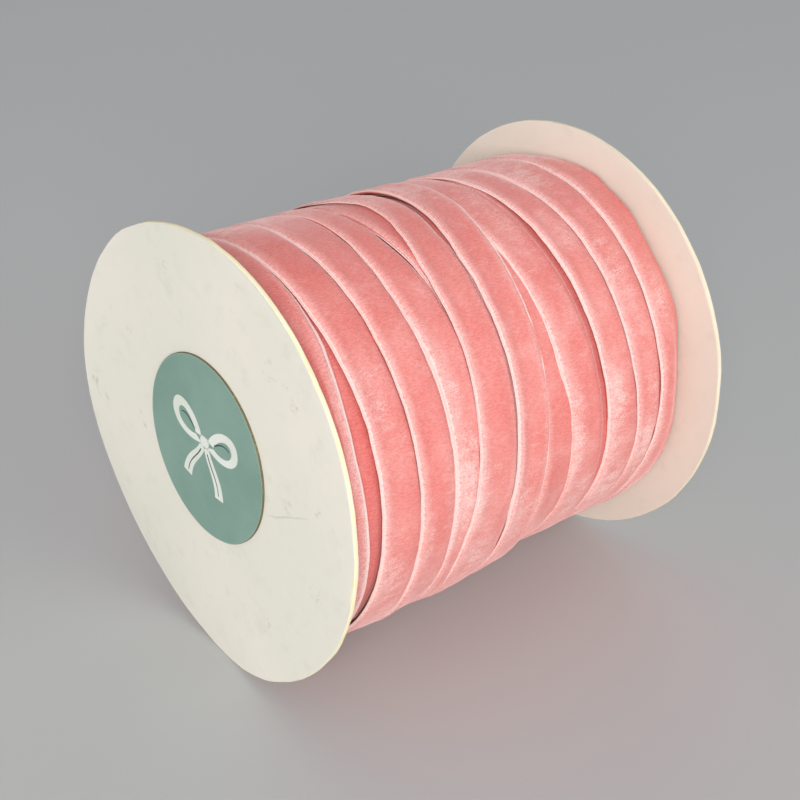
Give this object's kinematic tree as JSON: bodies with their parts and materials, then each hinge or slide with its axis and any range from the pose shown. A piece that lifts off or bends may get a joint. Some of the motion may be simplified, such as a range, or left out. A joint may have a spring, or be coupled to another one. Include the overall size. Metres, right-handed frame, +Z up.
{
  "type": "ribbon spool",
  "caption": "Card spool wound with narrow pink velvet ribbon, with a round green label over one end of its core and an open core at the other.",
  "frame": {"origin": "middle of the core bore, on the spool's axis, half way between the flanges' outer faces", "axes": "+Y along the spool's axis towards the open end of the core, so the label looks towards -Y; +Z up with the spool standing on its two rims"},
  "size_m": [0.1, 0.102, 0.1],
  "materials": {
    "flange_liner": "matte",
    "flange_board": "matte",
    "tube_paper": "matte",
    "glue": "satin",
    "label_board": "matte",
    "label_print": "satin",
    "paper_tape": "matte",
    "velvet": "matte",
    "clear_tape": "gloss"
  },
  "bodies": {
    "spool": {"front_flange_outer_liner": "flange_liner", "front_flange_board": "flange_board", "front_flange_inner_liner": "flange_liner", "rear_flange_inner_liner": "flange_liner", "rear_flange_board": "flange_board", "rear_flange_outer_liner": "flange_liner", "core_tube_inner_ply": "tube_paper", "core_tube_board": "tube_paper", "core_tube_outer_ply": "tube_paper", "front_glue_bead": "glue", "rear_glue_bead": "glue", "label_card": "label_board", "label_face": "label_print", "start_tape": "paper_tape", "ribbon_inner_winding": "velvet", "ribbon_under_layer": "velvet", "ribbon_outer_layer": "velvet"},
    "free_end": {"ribbon_tail": "velvet", "tail_tape": "clear_tape"}
  },
  "joints": [
    {"name": "tail_lift", "type": "hinge", "parent": "spool", "child": "free_end", "pos_m": [-0.03336, 0.0443, 0.02799], "axis": [0, 1, 0], "range_deg": [0, 70]}
  ]
}
